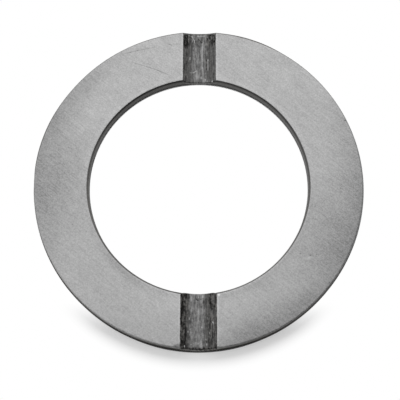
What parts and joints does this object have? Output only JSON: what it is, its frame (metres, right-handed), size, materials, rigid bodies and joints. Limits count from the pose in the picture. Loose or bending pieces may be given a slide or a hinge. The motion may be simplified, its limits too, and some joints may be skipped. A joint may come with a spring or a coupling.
{
  "type": "thrust washer",
  "caption": "Flat steel thrust washer with a plain round bore and two shallow round-bottomed oil grooves across its running face.",
  "frame": {"origin": "centre of the bore, on the plain back face that the washer lies on", "axes": "+Z along the bore's axis, from the plain back face to the grooved running face; Y along the two oil grooves; X across them"},
  "size_m": [0.06, 0.06, 0.002],
  "materials": {
    "ground_steel": "hardened steel with finely ground faces, and dark scale left on the turned walls and in the milled grooves"
  },
  "bodies": {
    "root": {"thrust_washer": "ground_steel"}
  },
  "joints": []
}
